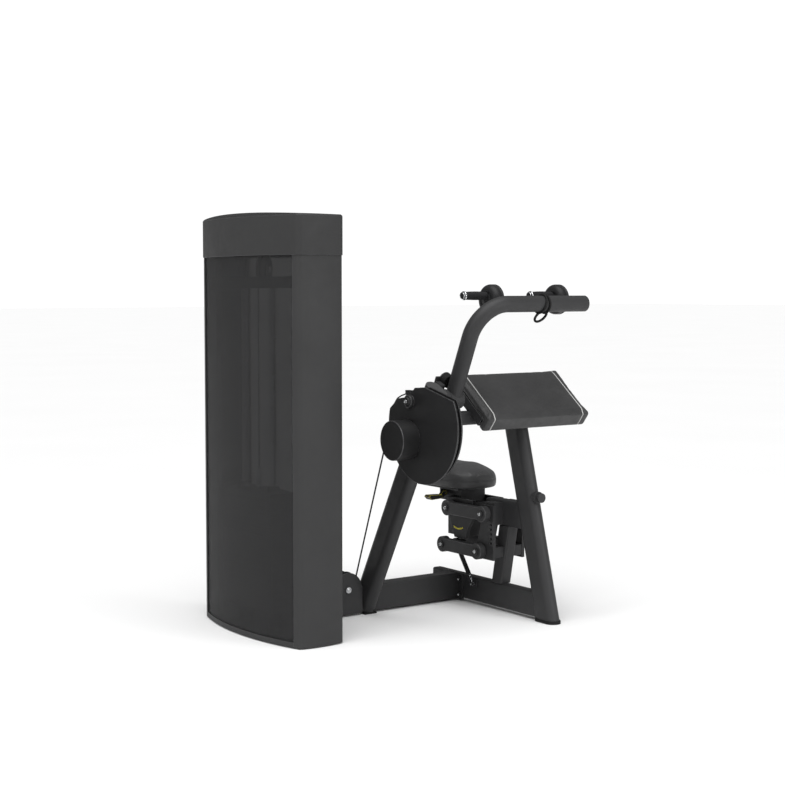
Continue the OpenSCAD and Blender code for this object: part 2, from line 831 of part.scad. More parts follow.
module counterweight() {
    color("#18191a") in_frame() bar_x(weight_r, cheek_out - 75, cheek_out, weight_y, weight_z);
}

// End of the cable on the cam: a short lead to the rim, the wrap and the end fitting
module cam_cable() {
    lead = run_gap - 0.6;
    touch = [cam_y + rope_r * cos(cable_lean), cam_z + rope_r * sin(cable_lean)];
    start = touch + lead * [sin(cable_lean), -cos(cable_lean)];
    color("#141414") in_frame() difference() {
        union() {
            tube_along([for (p = concat([start, touch], [for (q = [[102, 4], [78, 15], [40, 26]])
                           [pivot_y, pivot_z] + q])) [cable_x, p[0], p[1]]], cable_r);
            box([cable_x - 8, pivot_y + 4, pivot_z + 21], [cable_x + 8, pivot_y + 42, pivot_z + 38]);
        }
        bar_x(anchor_r, -big, big, pivot_y + anchor[0], pivot_z + anchor[1]);
    }
}

// Ring section of the arm tube
module arm_section() {
    difference() {
        circle(arm_r);
        circle(arm_r - wall);
    }
}

module arm_tube() {
    color("#303235") in_frame() union() {
        at_arm() {
            difference() {
                translate([arm_x, 0, 0]) linear_extrude(arm_reach - arm_bend) arm_section();
                bar_x(hub_r - 1, -big, big, 0, 0);
                translate([-big, -big, -big]) cube([2 * big, 2 * big, big]);
            }
            translate([arm_x + arm_bend, 0, arm_reach - arm_bend]) rotate([90, 0, 0])
                rotate([0, 0, 90]) rotate_extrude(angle = 90) translate([arm_bend, 0]) arm_section();
            translate([arm_x + arm_bend, 0, arm_reach]) rotate([0, 90, 0])
                linear_extrude(arm_end - arm_x - arm_bend) arm_section();
        }
        difference() {
            bar_x(hub_r, arm_x - hub_half, arm_x + hub_half, pivot_y, pivot_z);
            bar_x(shaft_r, -big, big, pivot_y, pivot_z);
        }
    }
}

module arm_end_cap() {
    dome = 8;
    dome_r = (arm_r * arm_r + dome * dome) / (2 * dome);
    color("#1c1d1f") in_frame() at_arm() intersection() {
        bar_x(arm_r, arm_end, arm_end + dome, 0, arm_reach);
        translate([arm_end + dome - dome_r, 0, arm_reach]) sphere(dome_r, $fn = 180);
    }
}

module tube_ring() {
    color("#1c1d1f") in_frame() difference() {
        at_arm() {
            bar_x(arm_r + 9, ring_x - 13, ring_x + 13, 0, arm_reach);
            translate([ring_x - 8, 0, arm_reach]) rotate([-arm_lean, 0, 0])
                translate([0, 0, -arm_r - 24]) rotate([90, 0, 0]) rotate_extrude()
                    translate([17, 0]) circle(3.5, $fn = 32);
        }
        at_arm() bar_x(arm_r, -big, big, 0, arm_reach);
    }
}

disc_xs = [pad_x - 3 - disc_gap / 2, pad_x - 3 + disc_gap / 2];
module handle_brackets() {
    tube_y = pivot_y - arm_reach * sin(arm_lean);
    tube_z = pivot_z + arm_reach * cos(arm_lean);
    tilt = atan2(disc_z - tube_z, disc_y - tube_y);
    color("#303235") in_frame() for (x = disc_xs) difference() {
        union() {
            side_plate(x + disc_t / 2 + 0.6, 10) {
                translate([disc_y, disc_z]) circle(21);
                translate([tube_y, tube_z]) rotate(tilt) translate([0, -17])
                    square([norm([disc_y - tube_y, disc_z - tube_z]), 34]);
            }
            bar_x(disc_pin, x - disc_t / 2 + 1, x + disc_t / 2 + 1, disc_y, disc_z);
        }
        at_arm() bar_x(arm_r, -big, big, 0, arm_reach);
    }
}

module handle_disc(x) {
    h = disc_t / 2;
    color("#222427") in_frame() translate([x, disc_y, disc_z]) rotate([0, 90, 0]) rotate_extrude()
        polygon([[disc_pin + 0.06, -h - disc_dome], [disc_r - 22, -h - disc_dome],
                 [disc_r - 10, -h - disc_dome + 4], [disc_r - 3, -h - disc_dome + 11], [disc_r, -h + 4],
                 [disc_r, h - 5], [disc_r - 5, h], [disc_pin + 0.06, h]]);
}

module grip(x) {
    face = x - disc_t / 2 - disc_dome;
    color("#161616") in_frame() {
        bar_x(grip_r, face - grip_l, face, disc_y, disc_z + grip_off);
        bar_x(grip_r + 1.5, face - grip_l - 6, face - grip_l, disc_y, disc_z + grip_off);
        bar_x(grip_r - 3, face - grip_l - 14, face - grip_l - 6, disc_y, disc_z + grip_off);
    }
}

module left_handle_disc() {
    handle_disc(disc_xs[1]);
}

module right_handle_disc() {
    handle_disc(disc_xs[0]);
}

module left_grip() {
    grip(disc_xs[1]);
}

module right_grip() {
    grip(disc_xs[0]);
}

// ---------- pad ----------

// Backing board, notched underneath where the beam's corner runs into it
module pad_board() {
    reach = beam_s / 2 + 0.2;
    color("#1c1d1f") in_frame() difference() {
        side_plate(pad_x - pad_half + 8, 2 * pad_half - 16)
            polygon([pad_at(36, pad_face_t + 0.1), pad_at(248, pad_face_t + 0.1),
                     pad_at(232, pad_face_t + board_t), pad_at(40, pad_face_t + board_t)]);
        box([0, beam_y - reach, beam_z - reach],
            [pad_x - post_t / 2 - rib_t + 0.2, beam_y + reach, beam_z + reach]);
    }
}

module pad_cushion() {
    color("#3b3c3e") in_frame() side_plate(pad_x - pad_half, 2 * pad_half)
        polygon([pad_at(0, 0), pad_at(pad_depth, 0), pad_at(pad_depth, pad_face_t),
                 pad_at(35, pad_face_t), pad_at(35, pad_t), pad_at(0, pad_t)]);
}

// ---------- seat ----------

module mirror_seat() {
    children();
    translate([2 * pad_x, 0, 0]) mirror([1, 0, 0]) children();
}

module seat_bracket() {
    color("#303235") in_frame() mirror_seat() difference() {
        union() {
            side_plate(322, 12) polygon([[-168, 205], [-68, 205], [-68, 262], [-95, 352],
                                         [-95, 416], [-168, 416]]);
            box([334, -160, 340], [375, -100, 426]);
            box([334, -166, 215], [375, -126, 255]);
            box([318.4, -168, 260], [322, -148, 354]);
        }
        bar_x(link_pin, 0, big, high_y, high_z);
        bar_x(link_pin, 0, big, low_y, low_z);
        for (i = [0 : 4]) bar_x(5.5, 310, 330, -158, 271 + 18 * i);
    }
}

// A link between the fixed pivot at (y, z) and the seat, on both sides
module links(y, z) {
    color("#2a2c2f") in_frame() mirror_seat() side_plate(link_x, link_t) difference() {
        union() {
            for (e = [0, link_l]) translate([y + e, z]) circle(link_boss);
            translate([y + link_l / 2, z]) square([link_l, 2 * link_neck], center = true);
        }
        for (e = [0, link_l]) translate([y + e, z]) circle(link_bore);
    }
}

module upper_links() {
    links(high_y, high_z);
}

module lower_links() {
    links(low_y, low_z);
}

module seat_carrier() {
    color("#232427") in_frame() difference() {
        union() {
            box([338, 20, 272], [462, 135, 404]);
            box([388, 85, 212], [454, 140, 272]);
            box([338, 56, 404], [462, 190, pan_z]);
            box([lever_x - 11, 150, lever_z - 15], [338, 156, lever_z + 12]);
            translate([lever_x, 134, lever_z]) rotate([-90, 0, 0]) cylinder(r = lever_pin, h = 17);
        }
        bar_x(link_pin, 0, big, high_y + link_l, high_z);
        bar_x(link_pin, 0, big, low_y + link_l, low_z);
    }
}

module seat_shroud() {
    color("#1e1f21") in_frame() mirror_seat() side_plate(322, 16) difference() {
        polygon([[-40, 424], [118, 424], [112, 352], [92, 305], [74, 266], [4, 266], [-6, 305], [-40, 352]]);
        translate([high_y + link_l, high_z]) circle(link_pin);
    }
}

module carrier_pins() {
    color("#c8cbd0") in_frame() for (p = [[high_y, high_z], [low_y, low_z]]) {
        bar_x(link_pin, link_x - 1, 2 * pad_x - link_x + 1, p[0] + link_l, p[1]);
        for (x = [link_x - 5, 2 * pad_x - link_x + 1]) bar_x(14, x, x + 4, p[0] + link_l, p[1]);
    }
}

module seat_pan() {
    color("#232427") in_frame() box([pad_x - 84, 50, pan_z], [pad_x + 84, 310, pan_z + pan_t]);
}

// Cushion with a round nose and rounded back corners
module seat_cushion() {
    color("#3b3c3e") in_frame() translate([pad_x, seat_y0, pan_z + pan_t]) linear_extrude(seat_h) {
        translate([0, seat_w / 2]) circle(seat_w / 2);
        translate([-seat_w / 2, seat_w / 2]) square([seat_w, seat_l - seat_w / 2 - 50]);
        translate([0, seat_l - 60]) round_rect(seat_w, 120, 50);
    }
}

module release_lever() {
    color("#c9b92f") in_frame() difference() {
        union() {
            translate([0, 134.5, 0]) rotate([90, 0, 0]) mirror([0, 0, 1]) linear_extrude(15) {
                translate([lever_x, lever_z]) circle(11);
                polygon([[330, 428], [308, 415], [300, 415], [300, 429], [318, 446]]);
            }
            translate([0, 126, 0]) rotate([90, 0, 0]) mirror([0, 0, 1]) linear_extrude(34)
                polygon([[302, 415], [302, 429], [244, 431], [237, 424], [250, 412]]);
        }
        translate([lever_x, 120, lever_z]) rotate([-90, 0, 0]) cylinder(r = lever_pin + 0.06, h = 60);
    }
}

// Frame of the gas spring at rest: local Z runs from its foot to its top
module at_gas() {
    translate([gas_x, gas_foot[0], gas_foot[1]]) rotate([-gas_lean, 0, 0]) children();
}

module gas_rod() {
    color("#d5d7da") in_frame() difference() {
        at_gas() {
            bar_x(8, -5, 5, 0, 0);
            cylinder(r = 4, h = 150);
        }
        bar_x(gas_pin + 0.06, 0, big, gas_foot[0], gas_foot[1]);
    }
}

module gas_cylinder() {
    color("#1b1c1d") in_frame() difference() {
        at_gas() {
            translate([0, 0, 44]) cylinder(r = 9, h = gas_len - 58);
            bar_x(18, -7, 7, 0, gas_len);
        }
        at_gas() {
            translate([0, 0, 40]) cylinder(r = 4.06, h = 118);
            bar_x(link_pin + 3.5, -20, 20, 0, gas_len);
        }
    }
}

tower_base();
front_column();
rear_column();
outer_panel();
inner_panel();
tower_cap();
tower_frame();
guide_rods();
stack_bumpers();
resting_plates();
lifted_plates();
top_plate();
selector_stem();
selector_pin();
top_pulley();
lower_pulley();
floor_pulley();
pulley_axles();
pulley_plates();
base_rail();
cross_rail();
joint_flange();
frame_bolts();
rubber_feet();
arm_post();
pad_post();
end_caps();
seat_post();
seat_beam();
cross_beam();
bearing_housing();
rest_stop();
accessory_peg();
drive_cable();
pivot_shaft();
cam();
cam_cover();
counterweight();
cam_cable();
arm_tube();
arm_end_cap();
tube_ring();
handle_brackets();
left_handle_disc();
left_grip();
right_handle_disc();
right_grip();
pad_board();
pad_cushion();
seat_bracket();
upper_links();
lower_links();
seat_carrier();
seat_shroud();
carrier_pins();
seat_pan();
seat_cushion();
release_lever();
gas_cylinder();
gas_rod();
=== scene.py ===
"""Studio scene for the seated arm machine: finishes, softened edges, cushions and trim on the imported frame."""
import json
import math

import bmesh
import bpy
import numpy as np
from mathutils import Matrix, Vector
from mathutils.bvhtree import BVHTree


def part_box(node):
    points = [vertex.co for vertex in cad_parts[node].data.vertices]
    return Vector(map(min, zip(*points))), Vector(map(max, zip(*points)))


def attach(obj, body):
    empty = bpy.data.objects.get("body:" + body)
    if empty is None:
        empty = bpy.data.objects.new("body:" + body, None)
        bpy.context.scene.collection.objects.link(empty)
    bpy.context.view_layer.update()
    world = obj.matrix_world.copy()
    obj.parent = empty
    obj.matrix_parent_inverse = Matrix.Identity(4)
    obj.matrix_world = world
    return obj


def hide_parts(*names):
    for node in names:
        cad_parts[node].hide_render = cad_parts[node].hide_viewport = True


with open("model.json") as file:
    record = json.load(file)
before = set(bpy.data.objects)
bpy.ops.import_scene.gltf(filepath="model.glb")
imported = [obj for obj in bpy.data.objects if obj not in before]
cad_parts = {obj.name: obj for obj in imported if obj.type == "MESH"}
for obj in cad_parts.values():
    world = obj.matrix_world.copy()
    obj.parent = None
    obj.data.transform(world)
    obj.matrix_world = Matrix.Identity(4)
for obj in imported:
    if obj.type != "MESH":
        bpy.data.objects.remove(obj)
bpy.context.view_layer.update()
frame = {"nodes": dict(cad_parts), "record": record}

MM = 0.001
SCENE = bpy.context.scene
CAD = frame["nodes"]
SLOT = {part["node"]: part["material_slot"] for part in frame["record"]["subparts"]}
BODY = {node: body for body, nodes in frame["record"]["behaviour"]["bodies"].items() for node in nodes}


# ---------- camera, light and floor ----------

def add_camera():
    """The camera stands low on the tower's side and looks slightly down along the machine."""
    heading = math.radians(35.49)
    dip = math.radians(3.9)
    lens = bpy.data.cameras.new("camera")
    lens.lens = 69.57
    lens.sensor_width = 36
    camera = bpy.data.objects.new("camera", lens)
    camera.location = (-3.3215, -4.5845, 1.2414)
    look = Vector((math.sin(heading) * math.cos(dip), math.cos(heading) * math.cos(dip), -math.sin(dip)))
    camera.rotation_euler = look.to_track_quat("-Z", "Y").to_euler()
    SCENE.collection.objects.link(camera)
    SCENE.camera = camera


def add_area_light(name, place, target, size, power):
    light = bpy.data.lights.new(name, "AREA")
    light.shape = "DISK"
    light.size = size
    light.energy = power
    lamp = bpy.data.objects.new(name, light)
    lamp.location = place
    lamp.rotation_euler = (Vector(target) - Vector(place)).to_track_quat("-Z", "Y").to_euler()
    SCENE.collection.objects.link(lamp)


def add_studio():
    world = bpy.data.worlds.new("studio")
    world.use_nodes = True
    nodes, links = world.node_tree.nodes, world.node_tree.links
    sky = nodes["Background"]
    sky.inputs["Color"].default_value = (1, 1, 1, 1)
    # The white backdrop is brighter to the lens than the soft light that it gives
    ray = nodes.new("ShaderNodeLightPath")
    level = nodes.new("ShaderNodeMapRange")
    level.inputs["To Min"].default_value = 0.2
    level.inputs["To Max"].default_value = 1.05
    links.new(ray.outputs["Is Camera Ray"], level.inputs["Value"])
    links.new(level.outputs["Result"], sky.inputs["Strength"])
    SCENE.world = world
    SCENE.view_settings.view_transform = "Standard"
    sun = bpy.data.lights.new("overhead", "SUN")
    sun.energy = 3.25
    sun.angle = math.radians(68)
    lamp = bpy.data.objects.new("overhead", sun)
    lamp.rotation_euler = Vector((0.28, 0.3, -1)).to_track_quat("-Z", "Y").to_euler()
    SCENE.collection.objects.link(lamp)
    middle = (0, 0, 0.8)
    add_area_light("front_strip", (1.4, -4.2, 1.9), middle, 1.6, 45)
    add_area_light("side_strip", (-4.6, -0.4, 2.6), middle, 1.8, 26)
    floor = mesh_piece("floor", [(-90, -90, 0), (90, -90, 0), (90, 90, 0), (-90, 90, 0)], [(0, 1, 2, 3)])
    floor.data.materials.append(floor_material())


# ---------- materials ----------

def node_material(name):
    material = bpy.data.materials.new(name)
    material.use_nodes = True
    return material, material.node_tree.nodes, material.node_tree.links


def noise(nodes, links, scale, detail=3.0, rough=0.5):
    """Noise in the object's own space, so that it stays on the piece at every pose."""
    place = nodes.new("ShaderNodeTexCoord")
    texture = nodes.new("ShaderNodeTexNoise")
    texture.inputs["Scale"].default_value = scale
    texture.inputs["Detail"].default_value = detail
    texture.inputs["Roughness"].default_value = rough
    links.new(place.outputs["Object"], texture.inputs["Vector"])
    return texture.outputs["Fac"]


def spread(nodes, links, value, low, high, from_low=0.3, from_high=0.7):
    """Maps a value that hovers around a half onto low to high."""
    scale = nodes.new("ShaderNodeMapRange")
    scale.inputs["From Min"].default_value = from_low
    scale.inputs["From Max"].default_value = from_high
    scale.inputs["To Min"].default_value = low
    scale.inputs["To Max"].default_value = high
    links.new(value, scale.inputs["Value"])
    return scale.outputs["Result"]


def two_tone(nodes, links, factor, dark, light):
    mix = nodes.new("ShaderNodeMix")
    mix.data_type = "RGBA"
    mix.inputs["A"].default_value = (*dark, 1)
    mix.inputs["B"].default_value = (*light, 1)
    links.new(factor, mix.inputs["Factor"])
    return mix.outputs["Result"]


def shade(colour, factor):
    return tuple(min(1.0, c * factor) for c in colour)


def add_bump(nodes, links, height, strength, distance, below=None):
    bump = nodes.new("ShaderNodeBump")
    bump.inputs["Strength"].default_value = strength
    bump.inputs["Distance"].default_value = distance
    links.new(height, bump.inputs["Height"])
    if below is not None:
        links.new(below, bump.inputs["Normal"])
    return bump.outputs["Normal"]


def coating(name, colour, rough, grain, bump, mottle, rough_spread=0.06, specular=0.18):
    """Paint or moulded plastic: fine orange peel, cloudy colour and uneven gloss."""
    material, nodes, links = node_material(name)
    shader = nodes["Principled BSDF"]
    cloud = spread(nodes, links, noise(nodes, links, 5.5, 5), 0, 1)
    speck = spread(nodes, links, noise(nodes, links, grain * 0.6, 1), 0, 1)
    both = nodes.new("ShaderNodeMath")
    both.operation = "MULTIPLY_ADD"
    links.new(speck, both.inputs[0])
    both.inputs[1].default_value = 0.35
    links.new(cloud, both.inputs[2])
    links.new(two_tone(nodes, links, both.outputs[0], shade(colour, 1 - mottle), shade(colour, 1 + mottle)),
              shader.inputs["Base Color"])
    links.new(spread(nodes, links, noise(nodes, links, 26, 4), rough - rough_spread, rough + rough_spread),
              shader.inputs["Roughness"])
    links.new(add_bump(nodes, links, noise(nodes, links, grain, 2), bump, 0.3 * MM),
              shader.inputs["Normal"])
    shader.inputs["Specular IOR Level"].default_value = specular
    return material


def wear_and_highlight_edge(name, colour, rough, wear_highlight_tone, share=0.5):
    """The rounded edges of a painted piece: the given colour, mostly lighter than the face, is a painted edge
    highlight, and the lighter patches are partly wear and partly painted highlight.
    """
    material, nodes, links = node_material(name)
    shader = nodes["Principled BSDF"]
    # Patches of the pale tone over the edge colour: wear and painted highlight together.
    patches = spread(nodes, links, noise(nodes, links, 38, 6, 0.7), 0, share, 0.4, 0.75)
    links.new(two_tone(nodes, links, patches, colour, wear_highlight_tone), shader.inputs["Base Color"])
    links.new(spread(nodes, links, noise(nodes, links, 60, 4), rough - 0.1, rough),
              shader.inputs["Roughness"])
    links.new(add_bump(nodes, links, noise(nodes, links, 900, 2), 0.15, 0.2 * MM),
              shader.inputs["Normal"])
    shader.inputs["Specular IOR Level"].default_value = 0.4
    return material


def smoked_panel():
    """Dark translucent sheet: the stack behind it shows faintly."""
    material = coating("smoked_panel", (0.036, 0.036, 0.0365), 0.5, 500, 0.05, 0.04,
                       rough_spread=0.04, specular=0.1)
    material.node_tree.nodes["Principled BSDF"].inputs["Alpha"].default_value = 0.66
    return material


def vinyl(name, colour, scale=520):
    """Upholstery vinyl: a pebbled grain, soft creases and a dull sheen."""
    material, nodes, links = node_material(name)
    shader = nodes["Principled BSDF"]
    place = nodes.new("ShaderNodeTexCoord")
    pebble = nodes.new("ShaderNodeTexVoronoi")
    pebble.feature = "SMOOTH_F1"
    pebble.inputs["Scale"].default_value = scale
    links.new(place.outputs["Object"], pebble.inputs["Vector"])
    creases = add_bump(nodes, links, noise(nodes, links, 34, 5, 0.6), 0.25, 1.2 * MM)
    grain = add_bump(nodes, links, pebble.outputs["Distance"], 0.45, 0.5 * MM, creases)
    links.new(grain, shader.inputs["Normal"])
    cloud = spread(nodes, links, noise(nodes, links, 9, 5), 0, 1)
    links.new(two_tone(nodes, links, cloud, shade(colour, 0.82), shade(colour, 1.2)),
              shader.inputs["Base Color"])
    links.new(spread(nodes, links, noise(nodes, links, 48, 4), 0.42, 0.6), shader.inputs["Roughness"])
    shader.inputs["Sheen Weight"].default_value = 0.12
    shader.inputs["Sheen Roughness"].default_value = 0.4
    shader.inputs["Specular IOR Level"].default_value = 0.4
    return material


def metal(name, colour, rough, stretch=(1, 1, 1)):
    """Turned or plated steel: fine lines along the turning direction and slight tarnish."""
    material, nodes, links = node_material(name)
    shader = nodes["Principled BSDF"]
    place = nodes.new("ShaderNodeTexCoord")
    squeeze = nodes.new("ShaderNodeMapping")
    squeeze.inputs["Scale"].default_value = stretch
    lines = nodes.new("ShaderNodeTexNoise")
    lines.inputs["Scale"].default_value = 700
    links.new(place.outputs["Object"], squeeze.inputs["Vector"])
    links.new(squeeze.outputs["Vector"], lines.inputs["Vector"])
    links.new(add_bump(nodes, links, lines.outputs["Fac"], 0.12, 0.1 * MM), shader.inputs["Normal"])
    cloud = spread(nodes, links, noise(nodes, links, 40, 4), 0, 1)
    links.new(two_tone(nodes, links, cloud, shade(colour, 0.8), colour), shader.inputs["Base Color"])
    links.new(spread(nodes, links, noise(nodes, links, 90, 3), rough - 0.05, rough + 0.07),
              shader.inputs["Roughness"])
    shader.inputs["Metallic"].default_value = 1.0
    return material


def braided_cable():
    """Nylon-coated wire rope: the strands show as a fine diagonal wave."""
    material, nodes, links = node_material("coated_cable")
    shader = nodes["Principled BSDF"]
    place = nodes.new("ShaderNodeTexCoord")
    wave = nodes.new("ShaderNodeTexWave")
    wave.bands_direction = "DIAGONAL"
    wave.inputs["Scale"].default_value = 130
    wave.inputs["Distortion"].default_value = 0.6
    links.new(place.outputs["Object"], wave.inputs["Vector"])
    links.new(add_bump(nodes, links, wave.outputs["Fac"], 0.5, 0.4 * MM), shader.inputs["Normal"])
    # The wave also darkens the grooves between the strands: painted shade.
    links.new(two_tone(nodes, links, wave.outputs["Fac"], (0.008, 0.008, 0.009), (0.03, 0.03, 0.032)),
              shader.inputs["Base Color"])
    shader.inputs["Roughness"].default_value = 0.38
    return material


def floor_material():
    material, nodes, links = node_material("studio_floor")
    shader = nodes["Principled BSDF"]
    cloud = spread(nodes, links, noise(nodes, links, 0.6, 3), 0, 1)
    links.new(two_tone(nodes, links, cloud, (0.87, 0.87, 0.87), (0.885, 0.885, 0.885)),
              shader.inputs["Base Color"])
    shader.inputs["Roughness"].default_value = 0.85
    shader.inputs["Specular IOR Level"].default_value = 0.15
    return material


CHARCOAL = (0.035, 0.035, 0.036)
COVER_GREY = (0.041, 0.041, 0.0415)
CAP_GREY = (0.039, 0.039, 0.0395)
DEEP_BLACK = (0.016, 0.016, 0.0165)
# Pale grey of the rubbed patches on rounded edges: part wear, part painted highlight.
WEAR_HIGHLIGHT_GREY = (0.16, 0.16, 0.165)

FINISH = {
    "covers": coating("cover_paint", COVER_GREY, 0.55, 750, 0.2, 0.05),
    "panels": smoked_panel(),
    "cap": coating("cap_paint", CAP_GREY, 0.55, 650, 0.22, 0.06),
    "frame_paint": coating("frame_paint", CHARCOAL, 0.5, 800, 0.3, 0.08, specular=0.25),
    "steel_rod": metal("steel_rod", (0.62, 0.63, 0.65), 0.22, (1, 1, 0.03)),
    "bolts": metal("bolt_steel", (0.66, 0.67, 0.68), 0.28),
    "plates": coating("cast_plates", (0.12, 0.12, 0.122), 0.55, 420, 0.5, 0.14),
    "rubber": coating("black_rubber", (0.012, 0.012, 0.012), 0.75, 500, 0.4, 0.15),
    "nylon": coating("pulley_nylon", (0.02, 0.021, 0.022), 0.4, 420, 0.15, 0.12),
    "cable": braided_cable(),
    "dark_paint": coating("dark_paint", DEEP_BLACK, 0.45, 850, 0.25, 0.1, specular=0.3),
    "upholstery": vinyl("upholstery_vinyl", (0.03, 0.03, 0.0305)),
    # A lighter copy of the upholstery vinyl for the seat: painted light for the bright sheen on the seat's top.
    "seat_cover": vinyl("seat_vinyl_painted_light", (0.05, 0.05, 0.051)),
    "board": coating("backing_board", (0.03, 0.03, 0.031), 0.6, 260, 0.5, 0.16),
    "cap_plastic": coating("end_cap_plastic", (0.06, 0.06, 0.061), 0.42, 520, 0.25, 0.08),
    "yellow": coating("yellow_plastic", (0.72, 0.62, 0.05), 0.38, 500, 0.2, 0.08),
    "shroud": coating("moulded_shroud", (0.021, 0.021, 0.022), 0.4, 380, 0.45, 0.12),
    "grip": coating("grip_rubber", (0.014, 0.014, 0.015), 0.62, 900, 0.6, 0.15),
}
# Edge materials: most are lighter than their faces, a painted highlight along the rounded edges (the plates'
# edge is darker); the backing board's pale edge is all painted highlight.
EDGE = {
    "covers": wear_and_highlight_edge("cover_edge", shade(COVER_GREY, 1.25), 0.38, WEAR_HIGHLIGHT_GREY, 0.25),
    "cap": wear_and_highlight_edge("cap_edge", shade(CAP_GREY, 1.3), 0.36, WEAR_HIGHLIGHT_GREY, 0.25),
    "frame_paint": wear_and_highlight_edge("frame_edge", shade(CHARCOAL, 1.2), 0.38, WEAR_HIGHLIGHT_GREY, 0.5),
    "dark_paint": wear_and_highlight_edge("dark_edge", shade(DEEP_BLACK, 2.4), 0.34, WEAR_HIGHLIGHT_GREY, 0.6),
    "plates": wear_and_highlight_edge("plate_edge", (0.09, 0.092, 0.095), 0.45, WEAR_HIGHLIGHT_GREY, 0.6),
    "shroud": wear_and_highlight_edge("shroud_edge", (0.05, 0.051, 0.053), 0.4, WEAR_HIGHLIGHT_GREY, 0.3),
    "board": wear_and_highlight_edge("board_edge", (0.09, 0.091, 0.093), 0.5, WEAR_HIGHLIGHT_GREY, 0.4),
}
PIPING = vinyl("pale_piping", (0.52, 0.52, 0.51), 900)
DARK_PIPING = vinyl("dark_piping", (0.035, 0.035, 0.037), 900)
CHROME = metal("chrome_ring", (0.8, 0.81, 0.82), 0.12)


# ---------- mesh helpers ----------

def mesh_piece(name, points, faces, smooth=False):
    mesh = bpy.data.meshes.new(name)
    mesh.from_pydata([tuple(p) for p in points], [], faces)
    mesh.update()
    if smooth:
        mesh.shade_smooth()
    piece = bpy.data.objects.new(name, mesh)
    SCENE.collection.objects.link(piece)
    return piece


def dress(piece, body, slot, *materials):
    """Gives a piece its materials, its slot and the body that it rides on."""
    for material in materials or (FINISH[slot],):
        piece.data.materials.append(material)
    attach(piece, body)
    return piece


def steady_normals(piece):
    """Keeps flat faces flat beside their rounded edges."""
    weighted = piece.modifiers.new("normals", "WEIGHTED_NORMAL")
    weighted.keep_sharp = True
    return piece


def soften(node, width, segments=2, edge=None, face=None, angle=32):
    """A copy of a CAD part with its sharp edges rounded; the rounding has a finish of its own, in most slots a
    lighter colour that is a painted edge highlight.
    """
    shape = bmesh.new()
    shape.from_mesh(CAD[node].data)
    bmesh.ops.remove_doubles(shape, verts=shape.verts, dist=0.01 * MM)
    bmesh.ops.dissolve_limit(shape, angle_limit=math.radians(0.4), verts=shape.verts, edges=shape.edges)
    for facet in shape.faces:
        facet.material_index = 0
        facet.smooth = True
    sharp = [e for e in shape.edges if e.is_manifold and e.calc_face_angle(0) > math.radians(angle)]
    bmesh.ops.bevel(shape, geom=sharp, offset=width, offset_type="OFFSET", segments=segments, profile=0.5,
                    affect="EDGES", clamp_overlap=True, material=1)
    for facet in shape.faces:
        facet.smooth = True
    for e in shape.edges:
        e.smooth = not e.is_manifold or e.calc_face_angle(0) < math.radians(50)
    mesh = bpy.data.meshes.new(f"{node}_finished")
    shape.to_mesh(mesh)
    shape.free()
    piece = bpy.data.objects.new(f"{node}_finished", mesh)
    SCENE.collection.objects.link(piece)
    slot = SLOT[node]
    dress(piece, BODY[node], slot, face or FINISH[slot], edge or EDGE.get(slot, FINISH[slot]))
    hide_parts(node)
    return steady_normals(piece)


def loft(name, rings, loop=False):
    """Skin over rings that all have the same number of points; its ends are closed unless it is a loop."""
    count = len(rings[0])
    points = [p for ring in rings for p in ring]
    faces = []
    spans = len(rings) if loop else len(rings) - 1
    for i in range(spans):
        near, far = i * count, (i + 1) % len(rings) * count
        faces += [(near + k, near + (k + 1) % count, far + (k + 1) % count, far + k) for k in range(count)]
    if not loop:
        faces.append(tuple(range(count))[::-1])
        faces.append(tuple(range(len(points) - count, len(points))))
    return mesh_piece(name, points, faces, smooth=True)


def frame_along(axis):
    """Two directions square to an axis."""
    axis = Vector(axis).normalized()
    helper = Vector((0.0, 0.0, 1.0)) if abs(axis.z) < 0.9 else Vector((0.0, 1.0, 0.0))
    side = axis.cross(helper).normalized()
    return axis, side, axis.cross(side)


def turned(name, start, axis, profile, steps=64):
    """A turned piece: profile holds (distance along the axis, radius) pairs in metres."""
    axis, side, up = frame_along(axis)
    start = Vector(start)
    turn = [2 * math.pi * k / steps for k in range(steps)]
    rings = [[start + axis * along + (side * math.cos(a) + up * math.sin(a)) * radius for a in turn]
             for along, radius in profile]
    return loft(name, rings)


def tube_loop(name, path, radius, steps=10):
    """A round tube along a closed path of points."""
    count = len(path)
    rings = []
    last = None
    for i, p in enumerate(path):
        axis = (path[(i + 1) % count] - path[i - 1]).normalized()
        if last is None:
            axis, side, up = frame_along(axis)
        else:
            side = (last - axis * last.dot(axis)).normalized()
            up = axis.cross(side)
        last = side
        rings.append([p + (side * math.cos(a) + up * math.sin(a)) * radius
                      for a in (2 * math.pi * k / steps for k in range(steps))])
    return loft(name, rings, loop=True)


def islands(node):
    """The box of each separate solid in a CAD part."""
    shape = bmesh.new()
    shape.from_mesh(CAD[node].data)
    bmesh.ops.remove_doubles(shape, verts=shape.verts, dist=0.01 * MM)
    left = set(shape.verts)
    boxes = []
    while left:
        seed = left.pop()
        found, to_visit = [seed], [seed]
        while to_visit:
            v = to_visit.pop()
            for e in v.link_edges:
                w = e.other_vert(v)
                if w in left:
                    left.remove(w)
                    found.append(w)
                    to_visit.append(w)
        co = np.array([v.co for v in found])
        boxes.append((Vector(co.min(0)), Vector(co.max(0))))
    shape.free()
    return sorted(boxes, key=lambda b: tuple(round(c, 4) for c in b[0]))


def merge(name, parts):
    """Joins loose meshes into one piece; each keeps its faces as they are."""
    shape = bmesh.new()
    for part in parts:
        shape.from_mesh(part.data)
        bpy.data.objects.remove(part)
    mesh = bpy.data.meshes.new(name)
    shape.to_mesh(mesh)
    shape.free()
    piece = bpy.data.objects.new(name, mesh)
    SCENE.collection.objects.link(piece)
    return piece


# ---------- bolts ----------

